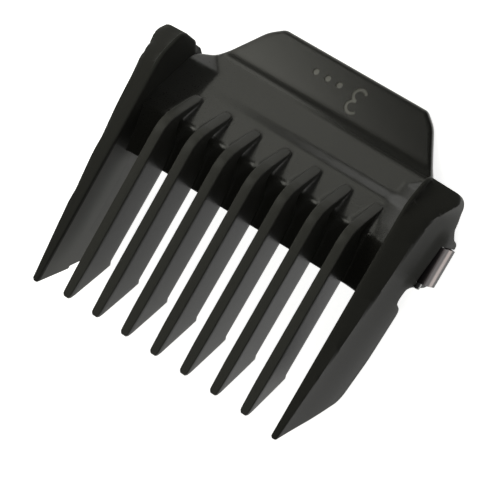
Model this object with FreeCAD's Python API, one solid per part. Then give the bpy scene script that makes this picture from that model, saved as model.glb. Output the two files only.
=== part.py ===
import FreeCAD, Part
import math
import os

# Clipper guard comb, millimetres.
# Every piece is drawn in the comb's own working frame: X across the comb, Y back from the line of
# the tooth tips, Z up from the skin plane, which is the flat that the tooth tops slide on. So all
# depths are negative. Each piece is moved by BASE_SHIFT as it is exported, which puts the origin at
# the middle of the base that the comb stands on.

# ---------------------------------------------------------------- driving dimensions
BLADE_WIDTH = 45.0            # the clipper blade that the comb snaps onto
CUT_LENGTH = 9.0              # hair length left standing, measured from the skin
BLADE_TIP_THICKNESS = 1.0     # steel between the cutting edge and the comb's seat
TOOTH_DEPTH = CUT_LENGTH - BLADE_TIP_THICKNESS
TOOTH_COUNT = 7
TOOTH_PITCH = 5.6
TOOTH_THICKNESS = 1.5
TIP_LEAD = -0.5               # how far the noses reach past the line that the lengths start at
COMB_LENGTH = 52.2            # wall tips to the rear edge of the tab
TAB_REAR = 51.6
COMB_HEIGHT = 18.5            # skin plane to the lowest edges of the side walls

INNER_HALF = 22.1             # inner face of a side wall, above the blade
POCKET_HALF = BLADE_WIDTH / 2 + 0.15
WALL_OUT_FRONT = 23.4         # outer face of a side wall at the tooth tips
WALL_OUT_REAR = 27.6          # the same at the wall's rear end
WALL_REAR = 43.9
SHOULDER_START = 22.8         # where the 45 degree shoulder leaves the skin plane
SKIN_THICKNESS = 1.8          # outer skin of the hollow rear part of a side wall
HOLLOW_REAR = 41.0
POCKET_STRAIGHT = 9.0         # the blade's pocket has parallel sides up to here, then widens
PLATE_THICKNESS = 1.5
TAB_THICKNESS = 1.3
MARK_DEPTH = 0.25

BAR_FRONT = 23.4              # front edge of the moulded plate, under the teeth
SEAT_REAR = 29.6              # rear edge of the flat that the blade lies against
BAR_REAR = 35.0               # where the front bar runs into the sloping deck
HINGE_BACK = 44.0             # bending groove between the deck and the tab
HINGE_GAP = 0.25
TAB_NECK_HALF = 20.2
TAB_REAR_HALF = 13.3

EAR_FRONT = 27.9
EAR_REAR = 36.3
EAR_TOP = -8.2
EAR_INNER = 24.9
EAR_OUTER = 27.9
CHEEK = 0.9                   # plastic left at each side of the steel clip
CLIP_SIDE_GAP = 0.15
PIN_RADIUS = 0.5
PIN_X = 26.9
PIN_Z = -12.3
CLIP_STEEL = 0.45             # thickness of the spring strip
CLIP_BORE_GAP = 0.05

BASE_SHIFT = FreeCAD.Vector(0, COMB_LENGTH / 2 - TAB_REAR, COMB_HEIGHT)
V = FreeCAD.Vector


# ---------------------------------------------------------------- drawing helpers
def yz(back, up, x=0.0):
    """A point on the plane across X = x."""
    return V(x, back, up)


def xz(x, up, back=0.0):
    """A point on the plane across Y = back."""
    return V(x, back, up)


def xy(x, back, up=0.0):
    """A point on the level plane Z = up."""
    return V(x, back, up)


def outline(corners, place, level):
    """A closed wire through corners (a, b, radius), each rounded by a tangent arc."""
    points = [place(a, b, level) for a, b, r in corners]
    count = len(points)
    ends = []
    arcs = []
    for i, (a, b, radius) in enumerate(corners):
        here = points[i]
        back = (points[i - 1] - here).normalize()
        ahead = (points[(i + 1) % count] - here).normalize()
        half = back.getAngle(ahead) / 2
        if radius == 0 or half > math.radians(89.5):
            ends.append((here, here))
            arcs.append(None)
            continue
        reach = radius / math.tan(half)
        centre_way = (back + ahead).normalize()
        middle = here + centre_way * (radius / math.sin(half) - radius)
        ends.append((here + back * reach, here + ahead * reach))
        arcs.append(middle)
    edges = []
    for i in range(count):
        if arcs[i] is not None:
            edges.append(Part.Arc(ends[i][0], arcs[i], ends[i][1]).toShape())
        start = ends[i][1]
        end = ends[(i + 1) % count][0]
        if start.distanceToPoint(end) > 1e-6:
            edges.append(Part.LineSegment(start, end).toShape())
    return Part.Wire(edges)


def prism(corners, place, low, high, way):
    """An outline drawn at level low and pushed along way to level high."""
    return Part.Face(outline(corners, place, low)).extrude(way * (high - low))


def across(corners, low, high):
    return prism(corners, yz, low, high, V(1, 0, 0))


def along(corners, low, high):
    return prism(corners, xz, low, high, V(0, 1, 0))


def upward(corners, low, high):
    return prism(corners, xy, low, high, V(0, 0, 1))


def sheet_band(line, thickness):
    """The closed outline of a bent sheet: line (back, up, radius) is its top side."""
    lower = []
    last = len(line) - 1
    for i, (back, up, radius) in enumerate(line):
        before = line[max(i - 1, 0)]
        after = line[min(i + 1, last)]
        way_in = V(0, back - before[0], up - before[1])
        way_out = V(0, after[0] - back, after[1] - up)
        if i == 0:
            way_in = way_out
        if i == last:
            way_out = way_in
        normal = (way_in.normalize() + way_out.normalize()).cross(V(1, 0, 0)).normalize()
        square = way_in.cross(V(1, 0, 0))
        step = thickness / normal.dot(square)
        bends_down = way_in.cross(way_out).x < 0
        inner_radius = radius - thickness if bends_down else radius + thickness
        lower.append((back + normal.y * step, up + normal.z * step, max(inner_radius, 0) if radius else 0))
    return line + lower[::-1]


def mirrored(shape):
    return shape.mirror(V(0, 0, 0), V(1, 0, 0))


def wall_outer(back):
    """X of a side wall's outer face, which flares towards the rear."""
    return WALL_OUT_FRONT + (WALL_OUT_REAR - WALL_OUT_FRONT) * back / WALL_REAR


# ---------------------------------------------------------------- plate: front bar, deck, tab
# One bent sheet seen from the side. It rises from its thin front edge to a lip between the tooth
# roots, drops steeply behind them, and runs out flatter into the thumb tab.
BAR_LINE = [
    (BAR_FRONT, -7.6, 0),
    (27.6, -6.5, 8.0),
    (31.2, -4.5, 2.4),
    (BAR_REAR, -6.4, 0),
]
DECK_LINE = [
    (BAR_REAR, -6.4, 0),
    (37.9, -10.1, 3.0),
    (41.2, -13.0, 9.0),
    (HINGE_BACK - HINGE_GAP / 2, -14.6, 0),
]
TAB_LINE = [
    (HINGE_BACK + HINGE_GAP / 2, -14.7, 0),
    (TAB_REAR + 1, -17.4, 0),
]


def front_bar():
    """The wedge-shaped bar that the teeth stand on. Its underside is the flat seat of the blade."""
    deck_foot = sheet_band(DECK_LINE, PLATE_THICKNESS)[-1]
    under = [
        deck_foot,
        (31.6, -6.3, 1.2),
        (SEAT_REAR, -TOOTH_DEPTH, 0),
        (BAR_FRONT, -TOOTH_DEPTH, 0),
    ]
    return across(BAR_LINE + under, -INNER_HALF, INNER_HALF)


def deck_plate():
    """The sloping plate. Its rear corners are cut round, where it narrows into the tab's neck."""
    plate = across(sheet_band(DECK_LINE, PLATE_THICKNESS), -INNER_HALF, INNER_HALF)
    plan = [
        (-INNER_HALF, BAR_REAR - 3, 0),
        (INNER_HALF, BAR_REAR - 3, 0),
        (INNER_HALF, 41.6, 1.2),
        (TAB_NECK_HALF, 42.9, 1.0),
        (19.4, HINGE_BACK, 0),
        (-19.4, HINGE_BACK, 0),
        (-TAB_NECK_HALF, 42.9, 1.0),
        (-INNER_HALF, 41.6, 1.2),
    ]
    return plate.common(upward(plan, -COMB_HEIGHT, 0))


def size_mark():
    """A generic guard number, a plain 3, with three pips that can be counted by touch.

    It reads from the rear of the comb. Each bowl of the 3 is a ring, open on the reader's left.
    """
    top, tall = -12.0, 8.0
    down = V(0, 0, -1)
    bowl, stroke = 1.0, 0.5
    number_x, number_back = 3.0, 47.4
    rings = []
    for side in (-1, 1):
        centre = V(number_x, number_back + side * bowl, top)
        outer = Part.makeCylinder(bowl + stroke / 2, tall, centre, down)
        rings.append(outer.cut(Part.makeCylinder(bowl - stroke / 2, tall, centre, down)))
    opening = Part.makeBox(2 * bowl, 2.4 * bowl, tall, V(number_x + 0.1, number_back - 1.2 * bowl, top - tall))
    mark = rings[0].fuse(rings[1]).cut(opening)
    pip_radius, pip_step = 0.55, 2.2
    for step in range(3):
        place = V(-0.7 - pip_step * step, number_back + 0.9, top)
        mark = mark.fuse(Part.makeCylinder(pip_radius, tall, place, down))
    return mark


def rear_tab():
    """The thumb tab, a sloping tongue that narrows to the rear, with the size mark sunk in it."""
    plate = across(sheet_band(TAB_LINE, TAB_THICKNESS), -TAB_NECK_HALF, TAB_NECK_HALF)
    half_plan = [
        (19.4, HINGE_BACK - 1, 0),
        (17.7, 46.2, 9.0),
        (15.6, 49.6, 5.0),
        (TAB_REAR_HALF, TAB_REAR, 1.2),
    ]
    plan = half_plan + [(-x, back, radius) for x, back, radius in half_plan[::-1]]
    tab = plate.common(upward(plan, -COMB_HEIGHT - 1, 0))
    mark_skin = across(sheet_band(TAB_LINE, MARK_DEPTH), -TAB_NECK_HALF, TAB_NECK_HALF)
    return tab.cut(size_mark().common(mark_skin))


def heel_hook():
    """A cross rib under the tab whose nose catches the rear edge of the blade."""
    hook_half = 12.0
    hook_corners = [
        (44.9, -12.0, 0),
        (46.6, -12.0, 0),
        (46.6, -18.2, 0.5),
        (44.3, -18.2, 0.3),
        (44.9, -17.3, 0.2),
    ]
    rib = across(hook_corners, -hook_half, hook_half)
    above = across([(BAR_FRONT, 0, 0), (TAB_REAR + 1, 0, 0)] + sheet_band(TAB_LINE, TAB_THICKNESS)[2:],
                   -TAB_NECK_HALF, TAB_NECK_HALF)
    return rib.cut(above)


# ---------------------------------------------------------------- teeth
TOOTH_OUTLINE = [
    (TIP_LEAD, 0.0, 0.3),
    (6.5, -TOOTH_DEPTH, 0.15),
    (7.2, -TOOTH_DEPTH + 0.6, 0.15),
    (BAR_FRONT, -TOOTH_DEPTH + 0.4, 0),
    (36.0, -TOOTH_DEPTH + 0.4, 0),
    (33.0, -3.2, 2.4),
    (30.8, 0.0, 4.0),
]


def plate_block():
    """The front bar and deck with everything under them, which the teeth are trimmed against."""
    top = BAR_LINE[:-1] + DECK_LINE
    under = [(HINGE_BACK, -COMB_HEIGHT, 0), (BAR_FRONT, -COMB_HEIGHT, 0)]
    return across(top + under, -INNER_HALF, INNER_HALF)


def tooth(number):
    """A blade-like tooth: its nose slants down to a small barb, its root sits on the front bar."""
    middle = (number - (TOOTH_COUNT + 1) / 2) * TOOTH_PITCH
    half = TOOTH_THICKNESS / 2
    blank = across(TOOTH_OUTLINE, middle - half, middle + half)
    nose_length = 1.0
    nose_half = 0.45
    plan = [
        (middle - nose_half, TIP_LEAD, 0),
        (middle + nose_half, TIP_LEAD, 0),
        (middle + half, nose_length, 0),
        (middle + half, 40.0, 0),
        (middle - half, 40.0, 0),
        (middle - half, nose_length, 0),
    ]
    return blank.common(upward(plan, -COMB_HEIGHT, 1)).cut(plate_block())


# ---------------------------------------------------------------- side walls
WALL_OUTLINE = [
    (TIP_LEAD - 0.2, 0.0, 0.3),
    (2.6, -9.6, 12.0),
    (6.2, -COMB_HEIGHT, 2.6),
    (14.0, -COMB_HEIGHT + 0.25, 12.0),
    (23.6, -15.6, 2.0),
    (24.6, -11.6, 1.0),
    (EAR_FRONT, -11.6, 0),
    (EAR_REAR, -11.6, 0),
    (EAR_REAR, -16.6, 0.6),
    (39.6, -13.3, 4.0),
    (WALL_REAR - 0.6, -9.0, 2.0),
    (WALL_REAR, -3.2, 2.4),
    (39.0, 0.0, 5.0),
]


def wall_plan():
    """The wall seen from above: straight inside, flared outside, with a round rear corner."""
    start = -2.0
    corners = [
        (INNER_HALF, start, 0),
        (wall_outer(start), start, 0),
        (WALL_OUT_REAR, WALL_REAR, 2.2),
        (INNER_HALF, WALL_REAR, 0),
    ]
    return upward(corners, -COMB_HEIGHT, 1.0)


def wall_hollow():
    """The room inside a side wall: a blade's width in front, out to the wall's skin at the rear."""
    return upward(
        [
            (INNER_HALF - 1, -2, 0),
            (POCKET_HALF, -2, 0),
            (POCKET_HALF, POCKET_STRAIGHT, 0),
            (wall_outer(HOLLOW_REAR) - SKIN_THICKNESS, HOLLOW_REAR, 0),
            (INNER_HALF - 1, HOLLOW_REAR, 0),
        ],
        -COMB_HEIGHT - 1,
        0,
    )


def ear_blank():
    """The ear as a plain block, before its slot: flush with the wall on top, proud of it below."""
    lintel = [
        (EAR_INNER, EAR_TOP, 0),
        (wall_outer(EAR_FRONT) - 0.2, EAR_TOP, 0),
        (EAR_OUTER, -11.2, 1.2),
        (EAR_OUTER, -COMB_HEIGHT, 1.3),
        (EAR_INNER, -COMB_HEIGHT, 0.4),
    ]
    return along(lintel, EAR_FRONT, EAR_REAR)


def side_wall():
    """The right wall: a pointed runner with a 45 degree shoulder, hollow under the deck."""
    blank = across(WALL_OUTLINE, INNER_HALF, WALL_OUT_REAR + 1)
    wall = blank.common(wall_plan())
    reach = 8.0
    shoulder = along(
        [
            (SHOULDER_START, 0.0, 0),
            (SHOULDER_START, 2.0, 0),
            (SHOULDER_START + reach, 2.0, 0),
            (SHOULDER_START + reach, -reach, 0),
        ],
        -2,
        WALL_REAR + 2,
    )
    wall = wall.cut(shoulder)
    # Below the blade's seat the inner face steps out, so that the blade's own width fits.
    seat = across(
        [
            (-1, -TOOTH_DEPTH - 0.2, 0),
            (BAR_FRONT + 1, -TOOTH_DEPTH - 0.2, 0),
            (36.0, -9.6, 0),
            (HOLLOW_REAR, -15.0, 0),
            (HOLLOW_REAR, -COMB_HEIGHT - 1, 0),
            (-1, -COMB_HEIGHT - 1, 0),
        ],
        INNER_HALF - 1,
        WALL_OUT_REAR + 1,
    )
    wall = wall.cut(seat.common(wall_hollow()))
    # A web carries the deck's edge down to the tab, behind the point where the outer skin ends.
    web = across(
        [(37.5, -8.0, 0), (43.0, -8.0, 0), (43.0, -15.4, 1.0), (41.6, -15.6, 1.0), (37.5, -12.4, 0)],
        INNER_HALF,
        INNER_HALF + SKIN_THICKNESS,
    )
    wall = wall.fuse(web)
    return wall.cut(ear_blank()).removeSplitter()


def wall_ear():
    """The ear that holds the steel clip: two cheeks and a lintel round a slot open below."""
    ear = ear_blank()
    slot = along(
        [
            (EAR_INNER - 1, -11.1, 0),
            (EAR_OUTER + 1, -11.1, 0),
            (EAR_OUTER + 1, -COMB_HEIGHT - 1, 0),
            (EAR_INNER - 1, -COMB_HEIGHT - 1, 0),
        ],
        EAR_FRONT + CHEEK,
        EAR_REAR - CHEEK,
    )
    pin_hole = Part.makeCylinder(PIN_RADIUS, EAR_REAR - EAR_FRONT, xz(PIN_X, PIN_Z, EAR_FRONT), V(0, 1, 0))
    return ear.cut(slot).cut(pin_hole)


def clip_pin():
    """The steel pin that the clip hangs on, pressed into both cheeks."""
    return Part.makeCylinder(PIN_RADIUS, EAR_REAR - EAR_FRONT, xz(PIN_X, PIN_Z, EAR_FRONT), V(0, 1, 0))


def spring_clip():
    """Sprung steel strip: an eye round the pin, an outer leaf, a rolled foot and a catch nose."""
    front = EAR_FRONT + CHEEK + CLIP_SIDE_GAP
    rear = EAR_REAR - CHEEK - CLIP_SIDE_GAP
    bore = PIN_RADIUS + CLIP_BORE_GAP
    eye_radius = bore + CLIP_STEEL
    eye_centre = xz(PIN_X, PIN_Z, front)
    eye = Part.makeCylinder(eye_radius, rear - front, eye_centre, V(0, 1, 0))
    leaf_outer = PIN_X + eye_radius + 0.15
    strip = [
        (PIN_X, PIN_Z + eye_radius, 0),
        (PIN_X + eye_radius, PIN_Z + eye_radius * 0.6, 0.8),
        (leaf_outer, -14.2, 3.0),
        (leaf_outer + 0.2, -18.2, 1.0),
        (26.6, -18.2, 0.9),
        (24.2, -15.6, 0.5),
        (25.6, -13.6, 0),
        (25.6 + CLIP_STEEL, -13.6, 0),
        (24.2 + CLIP_STEEL * 1.5, -15.6, 0.2),
        (26.8, -18.2 + CLIP_STEEL, 0.45),
        (leaf_outer + 0.2 - CLIP_STEEL, -18.2 + CLIP_STEEL, 0.55),
        (leaf_outer - CLIP_STEEL, -14.2, 3.0),
        (PIN_X + eye_radius - CLIP_STEEL * 0.8, PIN_Z, 0),
        (PIN_X, PIN_Z, 0),
    ]
    band = along(strip, front, rear)
    hole = Part.makeCylinder(bore, rear - front, eye_centre, V(0, 1, 0))
    return eye.fuse(band).cut(hole).removeSplitter()


def blade_stop_rib():
    """A cross rib behind the seat that the rear edge of the blade's cutter plate butts against."""
    rib_half = 15.0
    corners = [(30.6, -3.0, 0), (32.0, -3.0, 0), (32.0, -10.2, 0.4), (30.6, -10.2, 0.4)]
    filled = BAR_LINE + [(BAR_REAR, 2.0, 0), (BAR_FRONT, 2.0, 0)]
    return across(corners, -rib_half, rib_half).cut(front_bar()).cut(across(filled, -INNER_HALF, INNER_HALF))


# ---------------------------------------------------------------- build and export
def pieces():
    wall = side_wall()
    built = {
        "front_bar": front_bar(),
        "deck_plate": deck_plate(),
        "rear_tab": rear_tab(),
        "heel_hook": heel_hook(),
        "blade_stop_rib": blade_stop_rib(),
    }
    for number in range(1, TOOTH_COUNT + 1):
        built["tooth_%d" % number] = tooth(number)
    right = {
        "side_wall": wall,
        "wall_ear": wall_ear(),
        "spring_clip": spring_clip(),
        "clip_pin": clip_pin(),
    }
    for name, shape in right.items():
        built[name + "_right"] = shape
        built[name + "_left"] = mirrored(shape)
    return built


def main():
    os.makedirs("parts", exist_ok=True)
    for name, shape in sorted(pieces().items()):
        placed = shape.copy()
        placed.translate(BASE_SHIFT)
        box = placed.BoundBox
        print("%-18s solids %d valid %s volume %8.2f  X %6.2f %6.2f  Y %6.2f %6.2f  Z %6.2f %6.2f" % (
            name, len(placed.Solids), placed.isValid(), placed.Volume,
            box.XMin, box.XMax, box.YMin, box.YMax, box.ZMin, box.ZMax))
        placed.exportStep("parts/%s.step" % name)


main()
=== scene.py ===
# %% [markdown]
# # A clipper guard comb, from outlines to satin plastic
#
# A guard comb holds a hair clipper's blade at a fixed distance from the skin. It is one black
# moulding with a row of thin teeth, a bent plate, two side walls and a thumb tab, and it holds on to
# the clipper with two sprung steel clips. We rebuild each member as a mesh of its own around the
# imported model, which gives the sizes and the joints.

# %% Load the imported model
import math

import bpy
import bmesh
import numpy as np
from mathutils import Matrix, Vector
from mathutils.geometry import delaunay_2d_cdt


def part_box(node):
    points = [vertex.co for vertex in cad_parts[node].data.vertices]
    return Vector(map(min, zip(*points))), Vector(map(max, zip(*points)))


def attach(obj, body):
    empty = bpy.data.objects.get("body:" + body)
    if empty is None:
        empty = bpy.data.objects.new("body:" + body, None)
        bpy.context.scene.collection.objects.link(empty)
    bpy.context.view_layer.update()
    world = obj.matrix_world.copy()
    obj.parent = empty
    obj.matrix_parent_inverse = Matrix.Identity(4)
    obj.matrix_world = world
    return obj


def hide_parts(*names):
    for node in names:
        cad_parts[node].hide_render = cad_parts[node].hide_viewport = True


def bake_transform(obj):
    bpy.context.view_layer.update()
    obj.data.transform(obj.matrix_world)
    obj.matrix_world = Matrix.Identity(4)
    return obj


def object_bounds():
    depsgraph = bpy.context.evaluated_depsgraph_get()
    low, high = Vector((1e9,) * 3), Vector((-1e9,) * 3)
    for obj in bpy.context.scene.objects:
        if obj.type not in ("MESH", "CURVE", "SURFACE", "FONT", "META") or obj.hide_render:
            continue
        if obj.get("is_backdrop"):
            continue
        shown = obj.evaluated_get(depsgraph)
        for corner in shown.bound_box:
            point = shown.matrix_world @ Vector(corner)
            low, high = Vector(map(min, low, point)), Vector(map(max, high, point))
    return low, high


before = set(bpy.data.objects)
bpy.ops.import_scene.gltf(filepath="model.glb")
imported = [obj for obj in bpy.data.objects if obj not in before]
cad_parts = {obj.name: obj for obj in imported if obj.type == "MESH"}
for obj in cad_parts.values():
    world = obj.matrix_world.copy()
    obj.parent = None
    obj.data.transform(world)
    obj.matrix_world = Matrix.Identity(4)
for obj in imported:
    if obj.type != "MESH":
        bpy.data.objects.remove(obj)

cad_low, cad_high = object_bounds()

# %% [markdown]
# ## One working frame
#
# Every outline below is in millimetres, in the frame that a mould maker would use: X across the
# comb, Y back from the tooth tips, Z down (so negative) from the skin plane that the tooth tops
# slide on. The frame's own boxes say where that plane and the tab's rear edge lie, so nothing has
# to be placed by eye.

# %% From the working frame to the scene
MM = 0.001
TAB_REAR = 51.6
INNER_HALF = 22.1
SKIN_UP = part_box("tooth_4")[1][2] / MM
TIP_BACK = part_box("rear_tab")[1][1] / MM - TAB_REAR


def to_scene(points):
    """Working millimetres to scene metres."""
    moved = np.array(points, float) + (0.0, TIP_BACK, SKIN_UP)
    return moved * MM


print("skin plane at", round(SKIN_UP, 2), "mm, tip line at", round(TIP_BACK, 2), "mm")

# %% [markdown]
# ## Camera
#
# A product shot is taken with a long lens from well above, here turned so that the teeth run down
# to the left. Azimuth, elevation and roll are easier to read and to change than a matrix.

# %% Place the camera
CAMERA_TARGET = Vector((1.7, -5.2, 8.0)) * MM
CAMERA_AWAY = 277.3 * MM
CAMERA_AZIMUTH, CAMERA_ELEVATION, CAMERA_ROLL = 111.4, 70.4, -80.6
CAMERA_LENS = 129.7


def camera_turn(azimuth, elevation, roll):
    """A 3x3 turn: local Z looks back from the target, then the picture is rolled."""
    a, e, r = (math.radians(v) for v in (azimuth, elevation, roll))
    back = Vector((math.sin(a) * math.cos(e), -math.cos(a) * math.cos(e), math.sin(e)))
    level = Vector((0, 0, 1)).cross(back).normalized()
    upward = back.cross(level)
    right = level * math.cos(r) + upward * math.sin(r)
    return Matrix((right, back.cross(right), back)).transposed(), back


turn, looking_back = camera_turn(CAMERA_AZIMUTH, CAMERA_ELEVATION, CAMERA_ROLL)
camera = bpy.data.objects.new("camera", bpy.data.cameras.new("camera"))
bpy.context.scene.collection.objects.link(camera)
camera.data.lens = CAMERA_LENS
camera.data.clip_start = 0.01
camera.matrix_world = Matrix.Translation(CAMERA_TARGET + looking_back * CAMERA_AWAY) @ turn.to_4x4()
bpy.context.scene.camera = camera
print("camera at", [round(v / MM, 1) for v in camera.location])

# %% [markdown]
# ## Outlines with round corners
#
# A moulded part is drawn as a few corners, each with a radius. This helper walks round the corners
# and returns evenly spaced points, so a shape stays a short list that a person can read.

# %% Walk round an outline


def rounded(corners, step, closed=True):
    """Points along corners (a, b, radius), with tangent arcs in place of the corners."""
    here = np.array([(a, b) for a, b, _ in corners], float)
    count = len(corners)
    stops = []
    for i, (_, _, radius) in enumerate(corners):
        inner = closed or 0 < i < count - 1
        if radius == 0 or not inner:
            stops.append([here[i]])
            continue
        back = here[i - 1] - here[i]
        ahead = here[(i + 1) % count] - here[i]
        back, ahead = back / np.linalg.norm(back), ahead / np.linalg.norm(ahead)
        half = math.acos(float(np.clip(back @ ahead, -1, 1))) / 2
        middle = (back + ahead) / np.linalg.norm(back + ahead)
        centre = here[i] + middle * radius / math.sin(half)
        sweep = math.pi - 2 * half
        pieces = max(3, math.ceil(radius * sweep / step))
        side = back - middle * (back @ middle)
        side = side / np.linalg.norm(side)
        turns = np.linspace(sweep / 2, -sweep / 2, pieces + 1)
        stops.append([centre + radius * (side * math.sin(t) - middle * math.cos(t)) for t in turns])
    path = []
    for i, stop in enumerate(stops):
        path.extend(stop)
        if not closed and i == count - 1:
            break
        start, end = stop[-1], stops[(i + 1) % count][0]
        length = np.linalg.norm(end - start)
        for k in range(1, math.ceil(length / step)):
            path.append(start + (end - start) * k / math.ceil(length / step))
    path = np.array(path)
    gaps = np.linalg.norm(path - np.roll(path, 1, axis=0), axis=1)
    return path[gaps > 1e-4] if closed else path


print("a 10 mm square with 2 mm corners has",
      len(rounded([(0, 0, 2), (10, 0, 2), (10, 10, 2), (0, 10, 2)], 0.5)), "points")

# %% [markdown]
# ## A member between two skins
#
# Teeth, walls, deck and tab are all sheets: an outline, a skin on each side, and a soft edge. So
# one builder makes them all. It scatters points inside the outline, joins them with a constrained
# Delaunay triangulation, lifts them onto the two skins, and rolls both skins over near the edge
# along a quarter circle. A Bevel modifier could round a box, but it can't follow a skin that is
# itself curved, and here every edge radius is exact.

# %% Build a member


def edge_distance(points, loop, kept):
    """The distance of each point from the nearest kept side of the loop."""
    best = np.full(len(points), 1e6)
    for p, q, use in zip(loop, np.roll(loop, -1, axis=0), kept):
        if not use:
            continue
        side = q - p
        t = np.clip(((points - p) @ side) / (side @ side), 0, 1)
        best = np.minimum(best, np.linalg.norm(points - p - t[:, None] * side, axis=1))
    return best


def inside(points, loop):
    """True for each point that lies inside the loop."""
    odd = np.zeros(len(points), bool)
    for (ax, ay), (bx, by) in zip(loop, np.roll(loop, -1, axis=0)):
        if ay == by:
            continue
        spans = (points[:, 1] >= ay) != (points[:, 1] >= by)
        odd ^= spans & (points[:, 0] < ax + (points[:, 1] - ay) * (bx - ax) / (by - ay))
    return odd


def inward_of(loop):
    """The inward direction, one unit long, at each point of a loop that may run either way round."""
    ahead = np.roll(loop, -1, axis=0) - np.roll(loop, 1, axis=0)
    inward = np.stack([-ahead[:, 1], ahead[:, 0]], axis=1)
    inward /= np.linalg.norm(inward, axis=1)[:, None]
    area = np.sum(loop[:, 0] * np.roll(loop[:, 1], -1) - np.roll(loop[:, 0], -1) * loop[:, 1])
    return inward * math.copysign(1, area)


def scatter(loop, edge, grid, extra):
    """Points that a member needs: its outline, rings along the rolled edge, and a grid."""
    inward = inward_of(loop)
    everywhere = np.ones(len(loop), bool)
    found = [loop]
    for turn_angle in (22.5, 45, 67.5, 90):
        offset = edge * (1 - math.cos(math.radians(turn_angle)))
        ring = loop + inward * offset
        found.append(ring[edge_distance(ring, loop, everywhere) > offset * 0.97])
    low, high = loop.min(axis=0), loop.max(axis=0)
    columns = np.arange(low[0] + grid / 2, high[0], grid)
    rows = np.arange(low[1] + grid / 2, high[1], grid)
    spread = np.array(np.meshgrid(columns, rows)).reshape(2, -1).T
    if len(extra):
        spread = np.concatenate([spread, np.array(extra)])
    spread = spread[inside(spread, loop)]
    clear = edge_distance(spread, loop, everywhere) > edge + grid * 0.3
    found.append(spread[clear])
    return np.concatenate(found)


def link(name, mesh):
    """An object that shows the mesh, placed at the origin."""
    piece = bpy.data.objects.new(name, mesh)
    bpy.context.scene.collection.objects.link(piece)
    return piece


def mesh_from(name, points, faces):
    """A closed mesh with its faces outward, in scene metres."""
    mesh = bpy.data.meshes.new(name)
    mesh.from_pydata([tuple(p) for p in to_scene(points)], [], [list(map(int, f)) for f in faces])
    work = bmesh.new()
    work.from_mesh(mesh)
    bmesh.ops.remove_doubles(work, verts=work.verts, dist=1e-7)
    bmesh.ops.recalc_face_normals(work, faces=work.faces)
    if work.calc_volume(signed=True) < 0:
        bmesh.ops.reverse_faces(work, faces=work.faces)
    work.to_mesh(mesh)
    work.free()
    return mesh


def smooth(mesh, sharp_angle=35):
    """Smooth shading that breaks only where two faces meet at more than sharp_angle."""
    work = bmesh.new()
    work.from_mesh(mesh)
    limit = math.radians(sharp_angle)
    for face in work.faces:
        face.smooth = True
    for side in work.edges:
        side.smooth = len(side.link_faces) == 2 and side.calc_face_angle(0) < limit
    work.to_mesh(mesh)
    work.free()
    return mesh


def member(name, corners, near, far, edge, grid, step=0.4, extra=(), joined=None):
    """A sheet with an outline, a near and a far skin, and edges rolled to radius edge.

    near and far take an (n, 2) array of outline points and return (n, 3) working millimetres.
    joined says which outline points lie on a side that runs into another member: no roll there.
    """
    loop = rounded(corners, step)
    rolled = np.ones(len(loop), bool)
    if joined is not None:
        meets = joined(loop)
        rolled = ~(meets & np.roll(meets, -1))
    wanted = scatter(loop, edge, grid, extra)
    ring = [(i, (i + 1) % len(loop)) for i in range(len(loop))]
    flat, _, triangles, *_ = delaunay_2d_cdt([Vector(p) for p in wanted], ring, [], 1, 1e-6)
    flat = np.array([tuple(p) for p in flat])
    depth = edge_distance(flat, loop, rolled)
    front, rear = near(flat), far(flat)
    way = rear - front
    thickness = np.linalg.norm(way, axis=1)
    way /= thickness[:, None]
    radius = np.minimum(edge, thickness * 0.48)
    run = np.minimum(depth / edge, 1) * radius
    drop = radius - np.sqrt(np.maximum(radius**2 - (radius - run) ** 2, 0))
    front, rear = front + way * drop[:, None], rear - way * drop[:, None]
    count = len(flat)
    faces = [tuple(t) for t in triangles] + [tuple(i + count for i in reversed(t)) for t in triangles]
    seen = {}
    for t in triangles:
        for a, b in zip(t, list(t[1:]) + [t[0]]):
            seen[(a, b)] = True
    for a, b in seen:
        if (b, a) not in seen:
            faces.append((b, a, a + count, b + count))
    return mesh_from(name, np.concatenate([front, rear]), faces)


def mirrored(name, mesh):
    """The same mesh on the comb's other side, its faces turned outward again."""
    other = mesh.copy()
    other.name = name
    other.transform(Matrix.Scale(-1, 4, (1, 0, 0)))
    other.flip_normals()
    return other


# %% [markdown]
# ## Cutting one shape out of another
#
# Slots, hollows and the sunk size mark are cut with the exact Boolean solver, then baked to a plain
# mesh at once, so no modifier is left that would have to be solved again at every pose.

# %% Carve


def prism(name, corners, axis, low, high, step=0.4):
    """A closed outline pushed along one axis (0, 1 or 2) from low to high."""
    loop = rounded(corners, step)
    count = len(loop)
    points = np.zeros((2 * count, 3))
    others = [k for k in range(3) if k != axis]
    for start, level in ((0, low), (count, high)):
        points[start:start + count, axis] = level
        points[start:start + count, others[0]] = loop[:, 0]
        points[start:start + count, others[1]] = loop[:, 1]
    faces = [tuple(range(count)), tuple(range(2 * count - 1, count - 1, -1))]
    for i in range(count):
        k = (i + 1) % count
        faces.append((i, k, k + count, i + count))
    return mesh_from(name, points, faces)


def carve(mesh, tool, operation="DIFFERENCE"):
    """mesh with tool cut out of it, or joined to it, as a new plain mesh.

    The solver merges corners closer than a fixed length, so both are enlarged to unit millimetres.
    """
    for part in (mesh, tool):
        part.transform(Matrix.Scale(1 / MM, 4))
    block, cutter = link("block", mesh), link("cutter", tool)
    change = block.modifiers.new("carve", "BOOLEAN")
    change.object, change.operation, change.solver = cutter, operation, "EXACT"
    change.material_mode = "TRANSFER"
    solved = block.evaluated_get(bpy.context.evaluated_depsgraph_get())
    made = bpy.data.meshes.new_from_object(solved)
    made.transform(Matrix.Scale(MM, 4))
    made.name = mesh.name
    bpy.data.objects.remove(block)
    bpy.data.objects.remove(cutter)
    return made


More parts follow.
